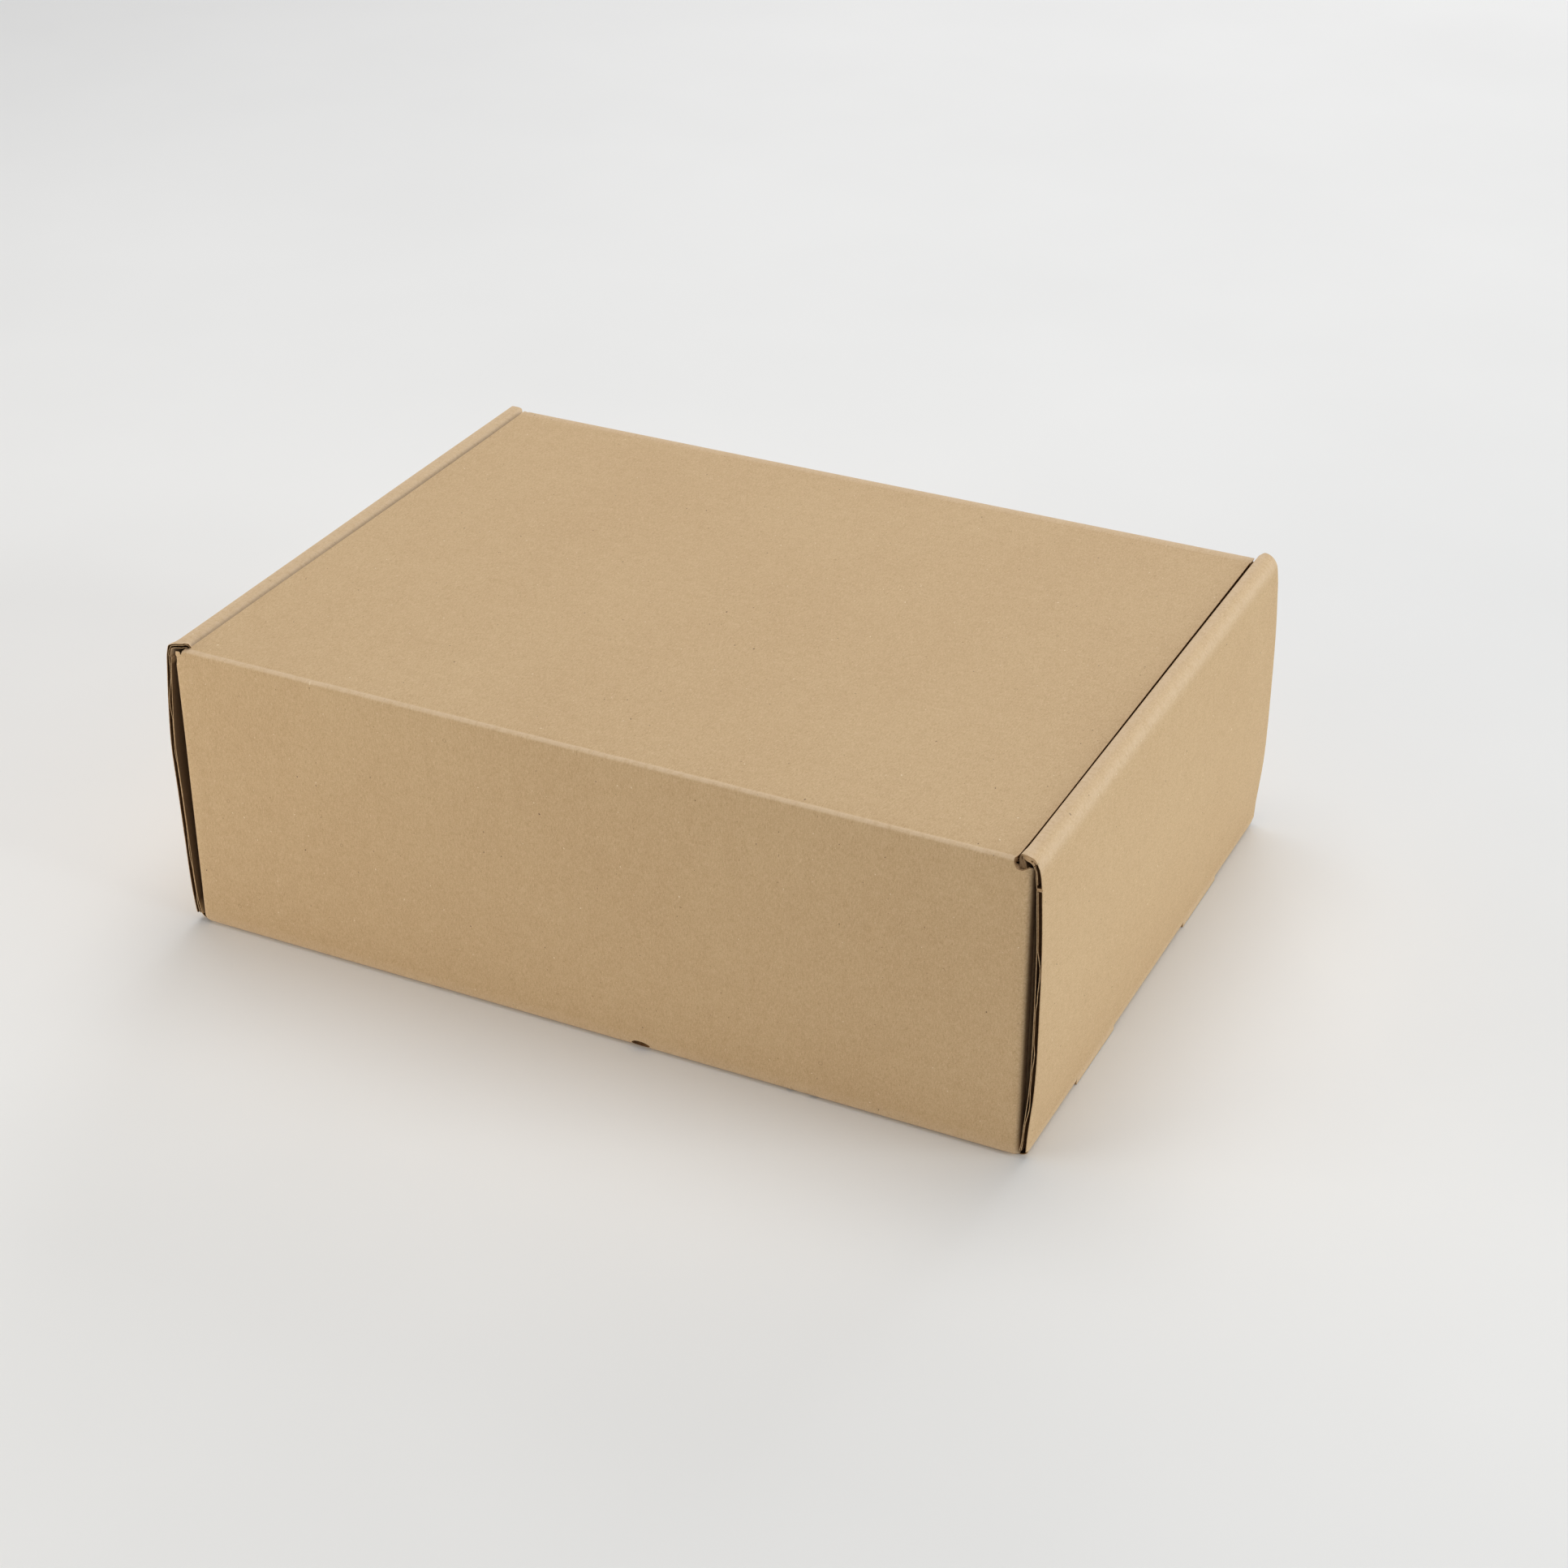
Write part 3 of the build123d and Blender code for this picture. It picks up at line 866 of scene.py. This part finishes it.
vm = tuck.v
half_r = [(189.6, V_LID_END, "raw"), (189.7, float(np.interp(5.0, [0, 6], [V_LID_END, vm[5]])), "raw", 1.6), (186.6, float(vm[9]), "raw", 1.2), (186.0, tv(131.5), "raw"), (179.0, V_TIP, "raw", 16)]
half_l = [(190.0, V_LID_END, "raw"), (189.9, float(np.interp(5.0, [0, 6], [V_LID_END, vm[5]])), "raw", 1.6), (186.6, float(vm[9]), "raw", 1.2), (186.0, tv(131.5), "raw"), (179.0, V_TIP, "raw", 16)]
corners, kinds = shape(half_r, half_l)
us_b = spread([-190, -187.2, 0, 187.2, 190], 4.4)
vs_b = spread(list(vm), 4.0)
mesh_b = Mesh()
board(mesh_b, tuck_map, [sample(corners, kinds, us_b, vs_b, 3.0)], us_b, vs_b, same)
flap_b = finish_piece(mesh_b, "tuck_flap_panel", lambda q: np.exp(-(((q[:, 1] - float(vm[4])) / 2.4) ** 2)) + 0.6 * np.exp(-(((q[:, 1] - float(vm[11])) / 2.0) ** 2)))
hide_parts("tuck_flap")

# ---- D, E: side walls -----------------------------------------------------
# Each row of the roll is (outer x, z, inner x, z); the second list is the raised near end.
ROLL = {
    1: (
        [(200.2, 134.0, 197.2, 134.0), (199.75, 136.1, 196.95, 135.3), (198.9, 137.8, 196.45, 136.4), (197.6, 139.4, 195.75, 137.2), (195.9, 140.5, 194.95, 137.75),
         (193.8, 141.0, 194.1, 138.1), (192.1, 140.6, 193.85, 138.0), (191.15, 139.6, 193.8, 137.7), (190.8, 138.2, 193.8, 137.3), (190.8, 135.0, 193.8, 135.0)],
        [(200.1, 133.6, 197.5, 133.2), (199.7, 135.8, 197.2, 134.9), (199.1, 137.3, 196.8, 136.0), (198.4, 138.7, 196.4, 136.9), (197.3, 140.15, 195.9, 137.7),
         (195.6, 141.0, 195.0, 138.5), (192.7, 141.6, 193.1, 139.0), (191.2, 140.6, 192.6, 138.6), (190.7, 139.0, 193.2, 137.9), (190.8, 135.6, 193.8, 135.4)],
    ),
    -1: (
        [(200.2, 135.0, 197.2, 134.4), (199.95, 136.8, 197.1, 135.1), (199.5, 137.9, 196.9, 135.35), (198.6, 138.35, 196.6, 135.4), (195.9, 138.4, 195.9, 135.4),
         (194.0, 138.05, 194.9, 135.25), (192.4, 137.1, 194.2, 134.8), (191.35, 135.7, 193.9, 134.3), (190.85, 134.2, 193.8, 133.8), (190.8, 132.6, 193.8, 132.6)],
        [(200.2, 134.6, 197.8, 134.2), (199.75, 136.6, 197.5, 135.6), (199.2, 138.6, 197.2, 136.9), (198.3, 139.75, 196.6, 137.9), (195.2, 140.95, 194.8, 138.55),
         (191.6, 141.75, 191.9, 139.3), (189.6, 142.1, 190.4, 139.75), (188.6, 141.5, 190.0, 139.6), (188.9, 139.9, 191.0, 139.0), (190.8, 134.6, 193.8, 134.6)],
    ),
}
FACE = {
    1: [(200.0, 3.2), (200.35, 12), (201.2, 22), (202.1, 34), (202.5, 50), (202.5, 72), (202.3, 93), (201.9, 108), (201.3, 120), (200.9, 127.5), (200.45, 131.8)],
    -1: [(200.0, 3.2), (201.2, 14), (201.8, 24), (202.2, 39), (202.6, 54), (203.0, 69), (203.4, 79), (203.6, 88.5), (203.3, 98), (202.3, 113), (201.1, 126), (200.55, 131.8)],
}


def side_path(side, raised):
    """Outer and inner stations of a side wall: base strip, fold, outer panel, roll, inner panel."""
    p = Path()
    p.line((187.2, H), (196.8, H), (0, -1), 3)
    p.arc((196.8, 3.2), 270, 360, 3.2, 0.2, 7)
    face = catmull(FACE[side] + [ROLL[side][0][0][:2]], 3)[1:-1]
    d = np.gradient(face, axis=0)
    n = np.c_[d[:, 1], -d[:, 0]] / np.hypot(*d.T)[:, None]
    for o, m in zip(face, n):
        p.add(tuple(o), tuple(o - T * m))
    roll = catmull(ROLL[side][1 if raised else 0], 4)
    for r in roll:
        p.add((r[0], r[1]), (r[2], r[3]))
    z = roll[-1][1]
    for k in range(1, 13):
        zz = z + (0.4 - z) * k / 12
        p.add((X_IN, zz), (X_IN + T, zz + (roll[-1][3] - z) * (1 - k / 12)))
    return p


def side_wall(side, name, fold_end, swing):
    flat_, high = side_path(side, False), side_path(side, True)
    flat_.done()
    high.outer, high.inner = np.array(high.o), np.array(high.i)
    o, i = np.array(flat_.o), np.array(flat_.i)
    d = np.linalg.norm(np.diff((o + i) / 2, axis=0), axis=1)
    keep = np.concatenate([[True], d > 1e-4])
    high.outer, high.inner, high.v = high.outer[keep], high.inner[keep], flat_.v
    f0 = float(flat_.v[np.argmin(np.hypot(flat_.outer[:, 0] - 196.8, flat_.outer[:, 1]))])
    f1 = float(flat_.v[np.argmin(np.hypot(flat_.outer[:, 0] - 200.0, flat_.outer[:, 1] - 3.2))])
    roll = ROLL[side][0]
    near = lambda x, z: float(flat_.v[np.argmin(np.hypot(flat_.outer[:, 0] - x, flat_.outer[:, 1] - z))])
    s_shoulder, s_top, s_crease, s_gap, s_in = (near(*roll[k][:2]) for k in (2, 3, 6, 8, 9))
    end = float(flat_.v[-1])
    s31 = end - 2.7
    place = lambda y, s: (side * (187.2 + np.asarray(s)), -20.0 - np.asarray(y))

    def f(y, s, w):
        y, s, w = np.asarray(y, float), np.asarray(s, float), np.asarray(w, float)
        bu, bv = place(y, s)
        stiff = smooth(f1, f1 + 20, s) * (1 - 0.6 * bump(s, (s_shoulder + s_crease) / 2, 9))
        ww = w + relief(bu, bv, stiff * np.where(s > s_in, 0.35, 0.9))
        # the cut ends of the outer panel are pressed thinner
        ww = ww + 0.55 * (H - w) / T * np.exp(-(144.1 - np.abs(y)) / 2.6) * smooth(f1, f1 + 6, s) * (1 - smooth(s_crease - 4, s_crease, s))
        x, z = flat_.at(s, ww)
        xh, zh = high.at(s, ww)
        lift = 1 - smooth(0, swing, y + 144.1)
        k = np.clip(lift, 0, 1)
        if side > 0:
            x = x + 0.3 * bump(s, near(200.9, 127.5), 1.3) * np.exp(-(y + 144.1) / 1.6)
        x, z = x + (xh - x) * k, z + (zh - z) * k
        # a foot tongue goes straight down where the slot has taken its fold away
        inslot = np.abs(np.abs(y) - 66.0) < 21.95
        tongue = inslot & (s < f1 + 1e-6) & (s > f1 - 3.6)
        xt, zt = flat_.at(np.full_like(s, f1), ww)
        x = np.where(tongue, xt - 0.04 * (f1 - s), x)
        z = np.where(tongue, 3.2 - (f1 - s), z)
        return np.stack([side * x, y, z], axis=-1)

    def nick(sign):
        # a small dent in the edge near the top of the right panel's near end
        if side < 0 or sign > 0:
            return []
        at = near(200.9, 127.5)
        return [(144.1, at - 0.7, "flat"), (143.6, at - 0.1, "flat"), (143.95, at + 0.35, "flat"), (144.1, at + 0.7, "raw")]

    def top_end(sign):
        if side < 0 or sign > 0:
            return [(144.1, s_crease - 0.9, "raw", 0.9), (140.0, s_crease + 2.0, "raw", 1.2)]
        # the right roll's near end is crushed shut, and reaches into the round slot of the wall
        return [(144.1, s_top, "flat"), (144.1, s_crease - 0.6, "flat", 0.5), (143.2, s_crease + 0.6, "flat"), (143.2, s_in + 0.8, "flat"), (139.9, s_in + 1.2, "raw")]

    def half(sign):
        return [
            (141.3, 0, "flat"),
            (141.3, fold_end - 187.2, "raw"),
            (141.3, f1 - 0.2, "raw"),
            (144.1, f1 + 0.6, "raw", 0.5),
        ] + nick(sign) + [
            *top_end(sign),
            (139.9, s31, "raw", 2.0),
            (86.5, s31, "raw"),
            (86.2, end, "raw", 1.5),
            (45.8, end, "raw", 1.5),
            (45.5, s31, "raw"),
        ]

    corners, kinds = shape(half(1), half(-1))
    vs = spread(list(flat_.v) + [f1 - 3.2], 4.4)
    us = spread([-144.1, -141.25, -132, -88, -44, 0, 44, 88, 132, 141.25, 144.1] + [-143.2, -142.2, -140, -138.5, -136.5, -134.5], 4.4)
    loops = [sample(corners, kinds, us, vs, 3.0)]
    for yc in (-66.0, 66.0):
        a, b = yc - 22.0, yc + 22.0
        hole = [(a - 0.1, 3.5), (a - 0.1, f1), (a + 0.1, f1), (a + 0.1, f1 - 3.15), (b - 0.1, f1 - 3.15), (b - 0.1, f1), (b + 0.1, f1), (b + 0.1, 3.5)]
        kinds_h = ["flat", "flat", "flat", "raw", "flat", "flat", "flat", "raw"]
        loops.append(sample(hole, kinds_h, us, vs, 3.0))
    m = Mesh()
    board(m, f, loops, us, vs, place, wander=Noise(18 + side, 13.0))
    if side > 0:
        # dark discs of the medium's tone stand for holes into the crushed end of the right roll; their darkness is
        # painted shade
        for s_at, w_at, half_s, half_w in ((s_crease - 1.9, -0.2, 0.45, 0.32), (s_crease - 3.5, 0.1, 0.4, 0.25), (s_top - 0.4, -0.1, 0.7, 0.5), (s_crease + 1.2, 0.3, 0.6, 0.3)):
            ring = [(s_at + half_s * math.cos(a), w_at + half_w * math.sin(a)) for a in np.linspace(0, 2 * math.pi, 11)[:-1]]
            ss, ww = np.array(ring).T
            yy = np.full(len(ss), -144.24 if s_at < s_crease else -143.3)
            first = m.verts(f(yy, ss, ww), np.c_[place(yy, ss)[0], place(yy, ss)[1], ww])
            back_ = m.verts(f(yy + 0.6, ss, ww * 0.6), np.c_[place(yy, ss)[0], place(yy, ss)[1], ww])
            m.face([first + k for k in range(len(ss))], MEDIUM_AND_SHADE_M)
            m.face([back_ + k for k in reversed(range(len(ss)))], MEDIUM_AND_SHADE_M)
            for k in range(len(ss)):
                j = (k + 1) % len(ss)
                m.face((first + j, first + k, back_ + k, back_ + j), MEDIUM_AND_SHADE_M)
    # paler scuffed paper on the roll's shoulder, its crease and the base fold, with a painted highlight on the roll
    # crease
    wear = lambda q: (np.exp(-(((np.abs(q[:, 0]) - 187.2 - s_shoulder) / 2.6) ** 2)) * 0.9 + np.exp(-(((np.abs(q[:, 0]) - 187.2 - s_crease) / 2.2) ** 2)) + 0.7 * np.exp(-(((np.abs(q[:, 0]) - 187.2 - (f0 + f1) / 2) / 2.2) ** 2)))

    def shade(q):
        # painted shade: the outer panel's inner liner seen through the slot, lighter above a ridge on the left wall,
        # and a band on the roll's outer liner beside the gap to the lid
        s = np.abs(q[:, 0]) - 187.2
        painted_slot_shade = (q[:, 2] < 0) * smooth(f1 + 2, f1 + 6, s) * (1 - smooth(s_in - 1, s_in + 1, s))
        if side < 0:
            painted_slot_shade = painted_slot_shade * (1 - 0.7 * smooth(near(200.6, 130.6), near(200.6, 130.6) + 0.5, s - 0.5 * (np.abs(q[:, 1] + 20) - 141)))
        painted_gap_shade = 0.3 * (q[:, 2] > 0) * bump(s, s_gap, 0.9)
        return painted_slot_shade + painted_gap_shade

    def pit(q):
        # painted shade: the part of the right roll that reaches into the round slot is darkened as if in deep shade
        s = np.abs(q[:, 0]) - 187.2
        return (q[:, 1] > 122.6) * (side > 0) * smooth(s_crease, s_crease + 0.9, s) * (1 - smooth(s_in + 2, s_in + 3, s))

    return finish_piece(m, name, wear, shade, pit)


side_d = side_wall(1, "right_side_wall", 195.0, 11.0)
side_e = side_wall(-1, "left_side_wall", 193.3, 8.5)
for o in (wall_c, flaps_a, side_d, side_e):
    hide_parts("tray")
    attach(o, "tray")
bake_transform(wall_a)
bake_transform(flap_b)

# ---- floor, light, camera -------------------------------------------------
def floor():
    bm = bmesh.new()
    n = 24
    grid = [[bm.verts.new((-6 + 12 * i / n, -6 + 12 * j / n, -0.0002)) for i in range(n + 1)] for j in range(n + 1)]
    for j in range(n):
        for i in range(n):
            bm.faces.new((grid[j][i], grid[j][i + 1], grid[j + 1][i + 1], grid[j + 1][i]))
    mesh = bpy.data.meshes.new("floor")
    bm.to_mesh(mesh)
    bm.free()
    o = bpy.data.objects.new("floor", mesh)
    bpy.context.collection.objects.link(o)
    t = Tree("studio_floor")
    at = t.new("ShaderNodeTexCoord").outputs["Object"]
    n = t.noise(t.vec(at, (3, 3, 3)), 1.0, 3.0)
    t.set(t.s.inputs["Base Color"], t.ramp(n, [(0.3, (0.87, 0.87, 0.87)), (0.7, (0.9, 0.9, 0.9))]))
    t.s.inputs["Roughness"].default_value = 0.9
    t.s.inputs["Specular IOR Level"].default_value = 0.1
    mesh.materials.append(t.m)


floor()


def area(name, place, at, size, watts, colour=(1, 1, 1)):
    d = bpy.data.lights.new(name, "AREA")
    d.shape, d.size, d.size_y, d.energy, d.color = "RECTANGLE", size[0], size[1], watts, colour
    o = bpy.data.objects.new(name, d)
    o.location = place
    o.rotation_mode = "QUATERNION"
    o.rotation_quaternion = (Vector(at) - Vector(place)).to_track_quat("-Z", "Y")
    bpy.context.collection.objects.link(o)


area("right", (2.4, 0.1, 0.7), (0, 0, 0.06), (1.4, 1.2), 26.3, (0.965, 1.0, 0.98))
area("front", (-1.15, -1.05, 0.34), (-0.05, -0.05, 0.0), (1.0, 0.6), 9.5, (1.0, 0.94, 0.83))
area("top", (-0.2, 0.4, 2.4), (0, 0, 0), (1.8, 1.8), 27)
area("back", (-0.3, 2.8, 1.4), (0, 0.9, 0), (2.2, 1.2), 22)
world = bpy.data.worlds.new("studio")
world.use_nodes = True
world.node_tree.nodes["Background"].inputs[0].default_value = (1.0, 1.0, 1.0, 1)
world.node_tree.nodes["Background"].inputs[1].default_value = 0.27
bpy.context.scene.world = world
bpy.context.scene.view_settings.view_transform = "Standard"
bpy.context.scene.view_settings.look = "None"

cam_data = bpy.data.cameras.new("camera")
cam_data.sensor_width = 36.0
cam_data.lens = 36.0 * 3644.856 / 1932
cam_data.clip_start, cam_data.clip_end = 0.05, 50
cam = bpy.data.objects.new("camera", cam_data)
bpy.context.collection.objects.link(cam)
az, el, roll = (math.radians(k) for k in (25.872, 30.472, 0.115))
ahead = Vector((-math.sin(az) * math.cos(el), math.cos(az) * math.cos(el), -math.sin(el)))
right0 = ahead.cross(Vector((0, 0, 1))).normalized()
up0 = right0.cross(ahead)
r_ = right0 * math.cos(roll) + up0 * math.sin(roll)
u_ = up0 * math.cos(roll) - right0 * math.sin(roll)
m4 = Matrix((r_, u_, -ahead)).transposed().to_4x4()
m4.translation = Vector((0.523376, -1.032475, 0.727141))
cam.matrix_world = m4
bpy.context.scene.camera = cam
